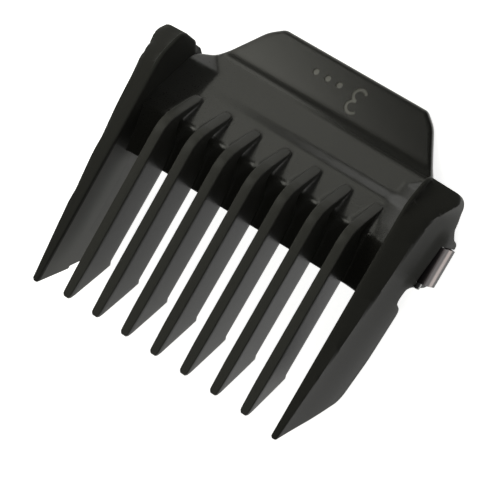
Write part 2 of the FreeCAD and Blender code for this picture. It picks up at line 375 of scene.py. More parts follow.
def softened(mesh, width, segments=2):
    """mesh with its sharp edges bevelled to width millimetres."""
    block = link("block", mesh)
    bevel = block.modifiers.new("soften", "BEVEL")
    bevel.width, bevel.segments = width * MM, segments
    bevel.limit_method, bevel.angle_limit = "ANGLE", math.radians(32)
    made = bpy.data.meshes.new_from_object(block.evaluated_get(bpy.context.evaluated_depsgraph_get()))
    made.name = mesh.name
    bpy.data.objects.remove(block)
    return made


# %% [markdown]
# ## Shared finishes as node groups
#
# The mould was spark eroded, so its plastic has a very fine even grain, broken by faint flow marks,
# and handling has polished the edges a little; the same paler edges also stand in as a painted
# highlight. Grain and flow come from one node group and the edge wear and painted highlight from
# another, so each material can hold its own strength of the same effect. A group puts out only
# colours, values and heights. The Principled shader stays in the material.

# %% Build the groups


def new_group(name, inputs, outputs):
    """An empty shader group with named float or colour sockets."""
    group = bpy.data.node_groups.new(name, "ShaderNodeTree")
    for label, kind, value in inputs:
        made = group.interface.new_socket(label, in_out="INPUT", socket_type=kind)
        made.default_value = value
    for label, kind in outputs:
        group.interface.new_socket(label, in_out="OUTPUT", socket_type=kind)
    return group, group.nodes.new("NodeGroupInput"), group.nodes.new("NodeGroupOutput")


def maths(tree, label, first, second, operation):
    """A Math node with two inputs, each a socket or a number."""
    node = tree.nodes.new("ShaderNodeMath")
    node.operation = operation
    for socket, value in zip(node.inputs, (first, second)):
        if isinstance(value, (int, float)):
            socket.default_value = value
        else:
            tree.links.new(value, socket)
    node.label = label
    return node.outputs[0]


def noise(tree, place, scale, detail, label):
    """Noise at place. scale, a number or a socket, is in cells per metre of object coordinates."""
    node = tree.nodes.new("ShaderNodeTexNoise")
    node.label = label
    node.inputs["Detail"].default_value = detail
    tree.links.new(place, node.inputs["Vector"])
    if isinstance(scale, (int, float)):
        node.inputs["Scale"].default_value = scale
    else:
        tree.links.new(scale, node.inputs["Scale"])
    return node.outputs["Fac"]


def moulded_skin_group():
    """Spark grain and flow marks of a moulded surface."""
    group, given, out = new_group(
        "moulded_skin",
        [("Tone", "NodeSocketColor", (0.02, 0.02, 0.019, 1)), ("Gloss", "NodeSocketFloat", 0.35),
         ("Grain per metre", "NodeSocketFloat", 5200.0), ("Flow", "NodeSocketFloat", 0.25)],
        [("Color", "NodeSocketColor"), ("Roughness", "NodeSocketFloat"), ("Height", "NodeSocketFloat")])
    place = group.nodes.new("ShaderNodeTexCoord").outputs["Object"]
    grain = noise(group, place, given.outputs["Grain per metre"], 2.0, "spark grain")
    stretch = group.nodes.new("ShaderNodeMapping")
    stretch.inputs["Scale"].default_value = (1.0, 0.25, 1.0)
    group.links.new(place, stretch.inputs["Vector"])
    flow = noise(group, stretch.outputs["Vector"], 160.0, 3.0, "flow marks")
    cloud = noise(group, place, 60.0, 2.0, "cloudy gloss")
    swing = maths(group, "flow strength", maths(group, "centre", flow, 0.5, "SUBTRACT"),
                  given.outputs["Flow"], "MULTIPLY")
    shade = group.nodes.new("ShaderNodeMixRGB")
    shade.blend_type = "MULTIPLY"
    shade.inputs["Fac"].default_value = 1.0
    level = maths(group, "tone swing", swing, 1.0, "ADD")
    group.links.new(given.outputs["Tone"], shade.inputs["Color1"])
    group.links.new(level, shade.inputs["Color2"])
    speckle = maths(group, "speckle", maths(group, "centre", grain, 0.5, "SUBTRACT"), 0.08, "MULTIPLY")
    patch = maths(group, "patch", maths(group, "centre", cloud, 0.5, "SUBTRACT"), 0.03, "MULTIPLY")
    rough = maths(group, "roughness", given.outputs["Gloss"],
                  maths(group, "both", speckle, patch, "ADD"), "ADD")
    group.links.new(shade.outputs["Color"], out.inputs["Color"])
    group.links.new(rough, out.inputs["Roughness"])
    group.links.new(grain, out.inputs["Height"])
    return group


def edge_wear_and_glint_group():
    """A mask that is 1 on convex edges: where fingers and cartons rub the grain away, and where a painted
    highlight pales them.
    """
    group, given, out = new_group(
        "edge_wear_and_glint",
        [("Reach", "NodeSocketFloat", 0.06), ("Broken up", "NodeSocketFloat", 0.5)],
        [("Mask", "NodeSocketFloat")])
    shape = group.nodes.new("ShaderNodeNewGeometry")
    place = group.nodes.new("ShaderNodeTexCoord").outputs["Object"]
    spots = noise(group, place, 900.0, 3.0, "rub marks")
    limit = maths(group, "top of ramp", 0.5, given.outputs["Reach"], "ADD")
    ramp = group.nodes.new("ShaderNodeMapRange")
    ramp.inputs["From Min"].default_value = 0.51
    group.links.new(limit, ramp.inputs["From Max"])
    group.links.new(shape.outputs["Pointiness"], ramp.inputs["Value"])
    broken = maths(group, "break up", spots, given.outputs["Broken up"], "MULTIPLY")
    group.links.new(maths(group, "mask", ramp.outputs["Result"], broken, "MULTIPLY"), out.inputs["Mask"])
    return group


MOULDED_SKIN = moulded_skin_group()
EDGE_WEAR_AND_GLINT = edge_wear_and_glint_group()
print("node groups", [g.name for g in bpy.data.node_groups])

# %% [markdown]
# ## Materials
#
# All the black members share one plastic, and each has its own small difference in gloss, because a
# mould's thin teeth cool faster than its thick walls and come out a shade glossier. Teeth, ribs and
# walls take a paler tone than plate and tab, a painted light for the light their faces catch. The
# walls' inner faces ahead of the bar take a paler tone again, a painted sheen for the pale floor that
# they mirror. The clips are rolled spring steel: a metal whose gloss is drawn out along the strip,
# with a painted shade darkening its foot and a painted highlight, a pale pinkish band, above it.

# %% Plastic and steel


def use_group(tree, group, values):
    """A group node with its inputs set by name."""
    node = tree.nodes.new("ShaderNodeGroup")
    node.node_tree = group
    for label, value in values.items():
        node.inputs[label].default_value = value
    return node


def new_material(name):
    """A material with its node tree and its Principled shader."""
    material = bpy.data.materials.new(name)
    material.use_nodes = True
    tree = material.node_tree
    return material, tree, tree.nodes["Principled BSDF"]


# Where the walls' inner faces take a paler tone as a painted sheen: how squarely they face inward, the height
# below which, and the span over which it fades in.
SHEEN_FACING_IN = 0.7
SHEEN_TOP, SHEEN_START, SHEEN_FULL = 17.7, 0.6, -4.4


def painted_inner_sheen(tree, colour, inner):
    """Mixes colour with inner, a paler tone that paints in a sheen, on the faces that look towards the middle
    plane, ahead of the bar.

    A wall's place and its facing have opposite signs along X where it looks inward, so their product
    tells both walls' inner faces at once.
    """
    frame_of = tree.nodes.new("ShaderNodeTexCoord")
    place, facing = (tree.nodes.new("ShaderNodeSeparateXYZ") for _ in range(2))
    tree.links.new(frame_of.outputs["Object"], place.inputs[0])
    tree.links.new(frame_of.outputs["Normal"], facing.inputs[0])
    turned = maths(tree, "place times facing", place.outputs["X"], facing.outputs["X"], "MULTIPLY")
    inward = maths(tree, "looks inward", turned, -SHEEN_FACING_IN * INNER_HALF * MM, "LESS_THAN")
    below = maths(tree, "below the top", place.outputs["Z"], SHEEN_TOP * MM, "LESS_THAN")
    ahead = tree.nodes.new("ShaderNodeMapRange")
    ahead.label = "ahead of the bar"
    ahead.interpolation_type = "SMOOTHSTEP"
    ahead.inputs["From Min"].default_value = SHEEN_START * MM
    ahead.inputs["From Max"].default_value = SHEEN_FULL * MM
    tree.links.new(place.outputs["Y"], ahead.inputs["Value"])
    sheen_mask = maths(tree, "and below", inward, below, "MULTIPLY")
    sheen_mask = maths(tree, "and ahead", sheen_mask, ahead.outputs["Result"], "MULTIPLY")
    mix = tree.nodes.new("ShaderNodeMixRGB")
    mix.inputs["Color2"].default_value = (*inner, 1)
    tree.links.new(sheen_mask, mix.inputs["Fac"])
    tree.links.new(colour, mix.inputs["Color1"])
    return mix.outputs["Color"]


def moulded_plastic(name, tone, gloss, flow, sheen, worn=0.10, inner=None):
    """Black moulded plastic. tone is its linear colour, gloss its roughness, sheen its reflection.

    worn is how strongly the convex edges are paled, partly as wear and partly as a painted highlight.
    inner, when given, is the paler tone of the walls' inner faces ahead of the bar, a painted sheen.
    """
    material, tree, shader = new_material(name)
    shader.inputs["Specular IOR Level"].default_value = sheen
    skin = use_group(tree, MOULDED_SKIN, {"Tone": (*tone, 1), "Gloss": gloss, "Flow": flow})
    rub = use_group(tree, EDGE_WEAR_AND_GLINT, {"Reach": 0.08, "Broken up": worn})
    # Convex edges go paler: partly rubbed wear, partly a painted highlight.
    paler = tree.nodes.new("ShaderNodeMixRGB")
    paler.inputs["Color2"].default_value = (*(3.0 * t for t in tone), 1)
    tree.links.new(rub.outputs["Mask"], paler.inputs["Fac"])
    tree.links.new(skin.outputs["Color"], paler.inputs["Color1"])
    colour = paler.outputs["Color"]
    if inner:
        colour = painted_inner_sheen(tree, colour, inner)
    tree.links.new(colour, shader.inputs["Base Color"])
    tree.links.new(skin.outputs["Roughness"], shader.inputs["Roughness"])
    bump = tree.nodes.new("ShaderNodeBump")
    bump.inputs["Strength"].default_value = 0.22
    bump.inputs["Distance"].default_value = 0.00003
    tree.links.new(skin.outputs["Height"], bump.inputs["Height"])
    tree.links.new(bump.outputs["Normal"], shader.inputs["Normal"])
    return material


# Heights in millimetres for the steel's bands: a darker foot of painted shade, then a pale band of painted
# highlight, then the plain tone.
STEEL_SPAN, SHADED_FOOT, HIGHLIGHT_FROM, HIGHLIGHT_TO, STEEL_PLAIN = 7.0, 2.7, 3.3, 4.4, 5.1


def rolled_steel(name, tone, gloss, grain_way, highlight_tone):
    """Spring steel with lines along axis grain_way, a painted highlight band, and painted shade at its foot."""
    material, tree, shader = new_material(name)
    shader.inputs["Metallic"].default_value = 1.0
    place = tree.nodes.new("ShaderNodeTexCoord").outputs["Object"]
    squeeze = [9000.0] * 3
    squeeze[grain_way] = 260.0
    stretch = tree.nodes.new("ShaderNodeMapping")
    stretch.inputs["Scale"].default_value = squeeze
    tree.links.new(place, stretch.inputs["Vector"])
    lines = noise(tree, stretch.outputs["Vector"], 1.0, 3.0, "rolling lines")
    stain = noise(tree, place, 500.0, 2.0, "faint stain")
    colour = tree.nodes.new("ShaderNodeMixRGB")
    colour.inputs["Color2"].default_value = (*(0.72 * t for t in tone), 1)
    tree.links.new(maths(tree, "stain", stain, 0.6, "MULTIPLY"), colour.inputs["Fac"])
    parts = tree.nodes.new("ShaderNodeSeparateXYZ")
    tree.links.new(place, parts.inputs[0])
    share = maths(tree, "share of the span", parts.outputs["Z"], STEEL_SPAN * MM, "DIVIDE")
    ramp = tree.nodes.new("ShaderNodeValToRGB")
    ramp.label = "painted light by height"
    stops, foot_shade = ramp.color_ramp.elements, tuple(0.3 * t for t in tone)
    stops[0].color, stops[1].color = (*foot_shade, 1), (*tone, 1)
    for up, hue in ((SHADED_FOOT, foot_shade), (HIGHLIGHT_FROM, highlight_tone), (HIGHLIGHT_TO, highlight_tone), (STEEL_PLAIN, tone)):
        stops.new(up / STEEL_SPAN).color = (*hue, 1)
    tree.links.new(share, ramp.inputs["Fac"])
    tree.links.new(ramp.outputs["Color"], colour.inputs["Color1"])
    tree.links.new(colour.outputs["Color"], shader.inputs["Base Color"])
    rough = maths(tree, "gloss", maths(tree, "swing", lines, 0.22, "MULTIPLY"), gloss, "ADD")
    tree.links.new(rough, shader.inputs["Roughness"])
    bump = tree.nodes.new("ShaderNodeBump")
    bump.inputs["Strength"].default_value = 0.35
    bump.inputs["Distance"].default_value = 0.00001
    tree.links.new(lines, bump.inputs["Height"])
    tree.links.new(bump.outputs["Normal"], shader.inputs["Normal"])
    return material


BLACK = (0.0105, 0.0105, 0.0092)
# Teeth, ribs and walls take paler copies of the same black: painted light, standing in for the light their tops
# and faces catch.
PAINTED_LIGHT_BLACK = (0.042, 0.042, 0.039)
WALL_PAINTED_LIGHT_BLACK = (0.028, 0.028, 0.026)
# The sunk mark's paler tone is a painted glint, for the light that its sloping groove walls catch.
MARK_GLINT_TONE = (0.13, 0.13, 0.12)
PLATE_PLASTIC = moulded_plastic("plate_plastic", BLACK, 0.29, 0.10, 0.5)
TAB_PLASTIC = moulded_plastic("tab_plastic", BLACK, 0.25, 0.10, 0.5)
MARK_GLINT_PLASTIC = moulded_plastic("mark_glint_plastic", MARK_GLINT_TONE, 0.22, 0.10, 0.5)
TOOTH_PLASTIC = moulded_plastic("tooth_plastic", PAINTED_LIGHT_BLACK, 0.32, 0.12, 0.08, 0.16)
# The walls' inner tone is a painted sheen for the pale floor that the inner faces mirror.
WALL_PLASTIC = moulded_plastic("wall_plastic", WALL_PAINTED_LIGHT_BLACK, 0.36, 0.16, 0.015, inner=(0.11, 0.11, 0.105))
RIB_PLASTIC = moulded_plastic("rib_plastic", PAINTED_LIGHT_BLACK, 0.42, 0.20, 0.2)
# The last colour of each steel is its painted highlight band.
CLIP_STEEL = rolled_steel("clip_steel", (0.10, 0.088, 0.09), 0.34, 1, (0.52, 0.44, 0.42))
PIN_STEEL = rolled_steel("pin_steel", (0.42, 0.42, 0.42), 0.28, 1, (0.55, 0.55, 0.55))
print("materials", [m.name for m in bpy.data.materials if m.name.endswith(("plastic", "steel"))])


def hand_over(mesh, name, material, body, nodes, sharp_angle=35):
    """Turns a mesh into a finished piece that stands for its CAD nodes and rides on a body."""
    if material:
        mesh.materials.clear()
        mesh.materials.append(material)
    piece = link(name, smooth(mesh, sharp_angle))
    mesh.name = name
    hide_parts(*nodes)
    if body:
        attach(piece, body)
    return piece


# %% [markdown]
# ## The bent plate
#
# Seen from the side, the plate is one bent line. It starts as a thin edge under the teeth, rises to
# a lip between their roots, drops steeply behind them and runs out into the tab. We keep that line
# as a few rounded corners and read heights off it. A second line has a crease across the deck, and
# the plate goes over from the one to the other along its width. Along both walls the plate sweeps up
# in a wide ramp, and beside each tooth in a small fillet, so that the plastic can flow.

# %% The plate's side view
TOOTH_COUNT, TOOTH_PITCH, TOOTH_THICKNESS, TOOTH_DEPTH = 7, 5.6, 1.65, 8.0
BAR_FRONT, HINGE_BACK = 23.4, 44.0
PLATE_FRONT = [(BAR_FRONT, -7.6, 0), (27.6, -6.6, 9.0), (31.7, -4.7, 1.2)]
TAB_END = (TAB_REAR + 1, -17.4, 0)
PLATE_PLAIN = PLATE_FRONT + [(43.8, -14.6, 3.5), TAB_END]
PLATE_CREASED = PLATE_FRONT + [(37.3, -9.1, 2.6), (38.6, -10.75, 2.6), (42.5, -13.8, 3.0),
                               (HINGE_BACK + 0.2, -14.75, 3.0), TAB_END]
PLATE_UNDER = [
    (BAR_FRONT, -8.0, 0),
    (29.6, -8.0, 0.3),
    (31.6, -6.4, 1.2),
    (34.0, -8.0, 1.5),
    (36.6, -10.8, 3.0),
    (40.4, -14.3, 7.0),
    (HINGE_BACK - 0.6, -16.0, 2.0),
    (TAB_REAR + 1, -18.75, 0),
]
plain_path = rounded(PLATE_PLAIN, 0.1, closed=False)
creased_path = rounded(PLATE_CREASED, 0.1, closed=False)
under_path = rounded(PLATE_UNDER, 0.1, closed=False)
TOOTH_PLACES = [(n - (TOOTH_COUNT - 1) / 2) * TOOTH_PITCH for n in range(TOOTH_COUNT)]
TOOTH_REAR, LIP_BACK, FRONT_SLOPE = 36.3, 31.9, 28.5
WALL_RAMP, ROOT_FILLET = (5.4, 2.9), (2.05, 1.2)
CREASE_LEAST, CREASE_MOST, CREASE_FROM, CREASE_TO = 0.04, 1.10, -17.0, 14.0


def ease(value, start, end):
    """0 before start, 1 after end, and a smooth S between them."""
    t = np.clip((value - start) / (end - start), 0, 1)
    return t * t * (3 - 2 * t)


def fillet_rise(gap, reach, tall):
    """How far a fillet has climbed, gap millimetres away from the upright face that it ends on."""
    share = np.clip(1 - gap / reach, 0, 1)
    return tall * (1 - np.sqrt(np.maximum(1 - share**2, 0)))


def plate_top(flat):
    """The upper skin of bar, deck and tab over plan points (x, back)."""
    x, back = flat[:, 0], flat[:, 1]
    plain = np.interp(back, plain_path[:, 0], plain_path[:, 1])
    creased = np.interp(back, creased_path[:, 0], creased_path[:, 1])
    share = CREASE_LEAST + (CREASE_MOST - CREASE_LEAST) * ease(x, CREASE_FROM, CREASE_TO)
    up = plain + share * (creased - plain)
    slender = np.interp(back, [30.0, 34.0, 40.5, 43.0], [0.8, 1.0, 0.9, 0.35])
    near_wall = np.clip(1 - (INNER_HALF - np.abs(x)) / (WALL_RAMP[0] * slender), 0, 1)
    up = up + slender * WALL_RAMP[1] * near_wall**1.3
    wide = np.interp(back, [FRONT_SLOPE, LIP_BACK - 1, LIP_BACK, TOOTH_REAR], [0.25, 1.0, 1.0, 0.0])
    for middle in TOOTH_PLACES:
        gap = np.abs(x - middle) - TOOTH_THICKNESS / 2
        up = up + wide * fillet_rise(gap, np.maximum(ROOT_FILLET[0] * wide, 0.01), ROOT_FILLET[1])
    return np.stack([x, back, up], axis=1)


def plate_under(flat):
    """The lower skin, straight below the same plan points."""
    up = np.interp(flat[:, 1], under_path[:, 0], under_path[:, 1])
    return np.stack([flat[:, 0], flat[:, 1], up], axis=1)


# %% [markdown]
# The bar and deck are one member. Their sides run nearly half a millimetre into the walls, so the
# ramp ends on the wall's face with no gap, and extra points are added close to every tooth and wall,
# where the surface turns fastest.

# %% Bar and deck
TUCK = 0.45
SEAM_BACK = 43.0
fine = [0.03, 0.12, 0.25, 0.42, 0.65, 0.95, 1.3, 1.7]
close_lines = [m + s * (TOOTH_THICKNESS / 2 + f) for m in TOOTH_PLACES for s in (-1, 1) for f in fine]
wall_steps = [0.02, 0.1, 0.22, 0.4, 0.65, 0.95, 1.3, 1.7, 2.1, 2.6, 3.1, 3.6]
close_lines += [s * (INNER_HALF - f) for s in (-1, 1) for f in wall_steps]
close_points = [(x, back) for x in close_lines for back in np.arange(BAR_FRONT + 0.3, SEAM_BACK, 0.4)]
edge_reach = INNER_HALF + TUCK
deck_corners = [
    (-edge_reach, BAR_FRONT, 0),
    (edge_reach, BAR_FRONT, 0),
    (edge_reach, 41.4, 0.6),
    (20.4, 42.6, 1.4),
    (20.1, SEAM_BACK, 0),
    (-20.1, SEAM_BACK, 0),
    (-20.4, 42.6, 1.4),
    (-edge_reach, 41.4, 0.6),
]
deck_mesh = member("comb_plate", deck_corners, plate_top, plate_under, 0.3, 0.42, extra=close_points,
                   joined=lambda p: p[:, 1] > SEAM_BACK - 1e-4)
hand_over(deck_mesh, "comb_plate", PLATE_PLASTIC, "comb_body", ["front_bar", "deck_plate"])
print("plate has", len(deck_mesh.polygons), "faces")

# %% [markdown]
# ## The thumb tab and its size mark
# The tab narrows to the rear in an S curve. The mark sunk in it is a plain 3 with three pips that a
# barber can count by touch. The 3 is two open rings, so it is cut with ring shapes and needs no
# font. Where the tab meets the deck the plastic bends a little.
# joint: its front edge stays with the deck and the rest turns with the tab.

# %% Tab outline and mark
MARK_DEPTH = 0.25
tab_half = [
    (20.1, SEAM_BACK, 0),
    (18.9, 44.6, 6.0),
    (17.6, 46.6, 9.0),
    (15.5, 49.9, 6.0),
    (13.3, TAB_REAR, 1.4),
]
tab_corners = tab_half + [(-x, back, radius) for x, back, radius in tab_half[::-1]]
tab_mesh = member("rear_tab", tab_corners, plate_top, plate_under, 0.42, 0.45, step=0.35,
                  joined=lambda p: p[:, 1] < SEAM_BACK + 1e-4)


def sunk(flat, depth):
    """The tab's top skin, depth millimetres down."""
    return plate_top(flat) - (0, 0, depth)


def groove(flat_loop, widen):
    """A tool with sloping sides that cuts flat_loop to MARK_DEPTH, widen wider at the surface."""
    outward = -inward_of(flat_loop)
    count = len(flat_loop)
    above = 0.3
    stretch = widen * (MARK_DEPTH + above) / MARK_DEPTH
    points = np.concatenate([sunk(flat_loop, MARK_DEPTH), sunk(flat_loop + outward * stretch, -above)])
    faces = [tuple(range(count)), tuple(range(2 * count - 1, count - 1, -1))]
    faces += [(i, (i + 1) % count, (i + 1) % count + count, i + count) for i in range(count)]
    return mesh_from("groove", points, faces)


def bowl_loop(x, back, radius, stroke, first, last):
    """A curved stroke about a circle, from angle first to last in degrees."""
    angles = np.radians(np.linspace(first, last, 26))
    inner, outer = radius - stroke / 2, radius + stroke / 2
    loop = [(inner, a) for a in angles] + [(outer, a) for a in angles[::-1]]
    return np.array([(x + r * math.sin(a), back + r * math.cos(a)) for r, a in loop])


def pip_loop(x, back, radius):
    """A small circle."""
    angles = np.radians(np.arange(0, 360, 12))
    return np.stack([x + radius * np.sin(angles), back + radius * np.cos(angles)], axis=1)


NUMBER_X, NUMBER_BACK, BOWL, STROKE = 3.0, 47.4, 1.0, 0.36
PIP_X, PIP_STEP, PIP_BACK, PIP_RADIUS = -0.7, 2.2, NUMBER_BACK + 0.9, 0.42
# Seen from the rear the 3 is upright: the front bowl is its top and both open on the left (+X).
mark = [bowl_loop(NUMBER_X, NUMBER_BACK - BOWL, BOWL, STROKE, 0, -235)]
mark += [bowl_loop(NUMBER_X, NUMBER_BACK + BOWL, BOWL, STROKE, 55, -180)]
mark += [pip_loop(PIP_X - PIP_STEP * step, PIP_BACK, PIP_RADIUS) for step in range(3)]
tab_mesh.materials.append(TAB_PLASTIC)
for loop in mark:
    tool = groove(loop, 0.14)
    # The groove walls and floor take the mark's paler tone: a painted glint.
    tool.materials.append(MARK_GLINT_PLASTIC)
    tab_mesh = carve(tab_mesh, tool)
tab = hand_over(tab_mesh, "rear_tab", None, None, ["rear_tab"])
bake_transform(tab)
print("tab has", len(tab_mesh.polygons), "faces")

# %% [markdown]
# ## Side walls
#
# A side wall is a pointed runner. Seen from the side it has a long front lobe, a notch, an ear that
# holds the clip, and a cut-away rear corner. Seen from above it flares outward. Its top is a shoulder
# that is level at the nose and twists outward towards the rear, where it also falls away. The ridge
# between shoulder and outer face is soft, so the two are joined with a smooth minimum.

# %% The wall's two skins
WALL_REAR, WALL_OUT_FRONT, WALL_OUT_REAR, SHOULDER_START = 43.9, 23.4, 27.7, 22.8
RIDGE_FRONT, RIDGE_SPREAD, RIDGE_KICK, RIDGE_SOFT = 23.15, 0.0785, 1.4, 0.5
SHOULDER_FALL, REAR_FALL, REAR_FALL_START, REAR_FALL_SOFT = 0.46, 0.9, 38.4, 0.9
REAR_CORNER = 2.4
EAR_FRONT, EAR_REAR, EAR_SWELL = 27.9, 36.3, 0.8
WALL_CORNERS = [
    (-0.74, 0.0, 0.35),
    (2.6, -9.6, 12.0),
    (6.2, -18.5, 2.6),
    (14.0, -18.25, 12.0),
    (23.5, -15.7, 2.4),
    (24.7, -11.6, 1.4),
    (27.6, -11.6, 1.0),
    (EAR_FRONT, -18.5, 1.2),
    (EAR_REAR, -18.5, 1.6),
    (36.9, -15.6, 1.0),
    (39.8, -13.2, 4.0),
    (43.3, -9.0, 2.2),
    (WALL_REAR, -3.2, 2.6),
    (39.4, 0.0, 5.5),
]


def soft_least(a, b, radius):
    """The smaller of a and b, with a round transition of about radius where they cross."""
    near_cross = np.clip(0.5 + 0.5 * (b - a) / radius, 0, 1)
    return b * (1 - near_cross) + a * near_cross - radius * near_cross * (1 - near_cross)


def wall_foot(back):
    """How far out the outer face stands at its lower edge."""
    return WALL_OUT_FRONT + (WALL_OUT_REAR - WALL_OUT_FRONT) * back / WALL_REAR


def wall_outside(flat):
    """The outer skin: a face with a draft, a shoulder above it, and a swell over the ear."""
    back, up = flat[:, 0], flat[:, 1]
    ridge = RIDGE_FRONT + RIDGE_SPREAD * back + RIDGE_KICK * ease(back, 38.5, 43.0)
    face = ridge + (wall_foot(back) - ridge) * ease(-up, 0.0, 15.0)
    past = np.clip(back - (WALL_REAR - REAR_CORNER), 0, REAR_CORNER)
    face = face - (REAR_CORNER - np.sqrt(REAR_CORNER**2 - past**2 + 1e-9))
    fall = 0.03 + SHOULDER_FALL * ease(back, 0.0, 33.0)
    rear_drop = np.log1p(np.exp((back - REAR_FALL_START) / REAR_FALL_SOFT)) * REAR_FALL_SOFT
    shoulder = SHOULDER_START + (-up - REAR_FALL * rear_drop) / fall
    x = soft_least(face, np.clip(shoulder, SHOULDER_START - 0.05, 40.0), RIDGE_SOFT)
    swell = ease(-up, 8.0, 12.5) * ease(back, 26.8, 29.0) * (1 - ease(back, 35.8, 38.5))
    x = x + EAR_SWELL * swell
    return np.stack([x, back, up], axis=1)


def wall_inside(flat):
    """The inner skin, a flat face."""
    return np.stack([np.full(len(flat), INNER_HALF), flat[:, 0], flat[:, 1]], axis=1)


# %% [markdown]
# The wall is hollow below the blade's seat, which saves plastic and lets the blade in. The hollow,
# the clip's slot and the web that carries the deck's edge are cut or joined after the member is made.

# %% Make the right wall and mirror it
POCKET_HALF, SKIN_THICKNESS, HOLLOW_REAR, HOLLOW_LOW = 22.65, 1.8, 41.0, -15.0
ridge_points = [(back, 0.25 - (wall_foot(back) - SHOULDER_START) + d)
                for back in np.arange(0.5, 43, 0.5) for d in (-0.7, -0.35, 0.35)]
wall_mesh = member("side_wall_right", WALL_CORNERS, wall_outside, wall_inside, 0.3, 0.6,
                   extra=ridge_points)


def hollow_tool():
    """The room inside the wall, below a ceiling that follows the deck's underside."""
    plan = [(10.0, -3.0), (POCKET_HALF, -3.0), (POCKET_HALF, 9.0), (25.55, HOLLOW_REAR), (10.0, HOLLOW_REAR)]
    tall = prism("hollow", [(x, back, 0) for x, back in plan], 2, -30.0, 0.0)
    room = prism("room", [(-4, -8.2, 0), (24.4, -8.2, 0), (36.0, -9.6, 0), (HOLLOW_REAR, HOLLOW_LOW, 0),
                          (HOLLOW_REAR + 1, -40, 0), (-4, -40, 0)], 0, 5.0, 30.0)
    return carve(tall, room, "INTERSECT")


wall_mesh = carve(wall_mesh, hollow_tool())
web = prism("web", [(37.5, -8.0, 0), (42.9, -8.0, 0), (42.6, -11.6, 2.4), (41.0, -15.2, 0.8), (37.5, -12.4, 0)],
            0, INNER_HALF + 0.03, INNER_HALF + SKIN_THICKNESS)
wall_mesh = carve(wall_mesh, web, "UNION")
slot_tool = prism("slot", [(EAR_FRONT + 0.9, -11.1, 0.3), (EAR_REAR - 0.9, -11.1, 0.3),
                           (EAR_REAR - 0.9, -30, 0), (EAR_FRONT + 0.9, -30, 0)], 0, 23.0, 31.0)
wall_mesh = carve(wall_mesh, slot_tool)
left_wall_mesh = mirrored("side_wall_left", wall_mesh)
hand_over(wall_mesh, "side_wall_right", WALL_PLASTIC, "comb_body", ["side_wall_right", "wall_ear_right"])
hand_over(left_wall_mesh, "side_wall_left", WALL_PLASTIC, "comb_body", ["side_wall_left", "wall_ear_left"])
print("wall has", len(wall_mesh.polygons), "faces")

# %% [markdown]
# ## Teeth by rule
#
# The seven teeth are one shape on a fixed pitch, which is work for Geometry Nodes. The tree takes
# the tooth, the pitch and a number, sets that one tooth in its place on the row, makes it real and
# gives it its material. Running it once for each number gives seven separate teeth.

# %% One tooth
TOOTH_TAIL = 35.4
TOOTH_CORNERS = [
    (-0.6, 0.0, 0.45),
    (6.5, -TOOTH_DEPTH, 0.12),
    (7.2, -TOOTH_DEPTH + 0.65, 0.15),
    (BAR_FRONT + 0.3, -TOOTH_DEPTH + 0.42, 0),
    (30.0, -7.2, 0.2),
    (31.6, -5.7, 0.2),
    (35.6, -8.7, 0.1),
    (36.5, -8.2, 0.5),
    (33.2, -3.0, 2.6),
    (31.0, 0.0, 4.5),
]


def tooth_skin(side):
    """One face of a tooth, which thins towards the nose. Nose and tail are round in plan."""
    def skin(flat):
        nose = np.clip((1.0 - flat[:, 0]) / 1.75, 0, 0.97)
        half = TOOTH_THICKNESS / 2 * (0.86 + 0.14 * ease(flat[:, 0], -0.5, 6.0)) * np.sqrt(1 - nose**2)
        past = np.clip((flat[:, 0] - TOOTH_TAIL) / (TOOTH_REAR + 0.35 - TOOTH_TAIL), 0, 0.97)
        half = half * np.sqrt(1 - past**2)
        return np.stack([side * half, flat[:, 0], flat[:, 1]], axis=1)
    return skin


tooth_mesh = smooth(member("tooth", TOOTH_CORNERS, tooth_skin(-1), tooth_skin(1), 0.2, 0.9, step=0.35))
print("one tooth has", len(tooth_mesh.polygons), "faces")

# %% The row as a node tree


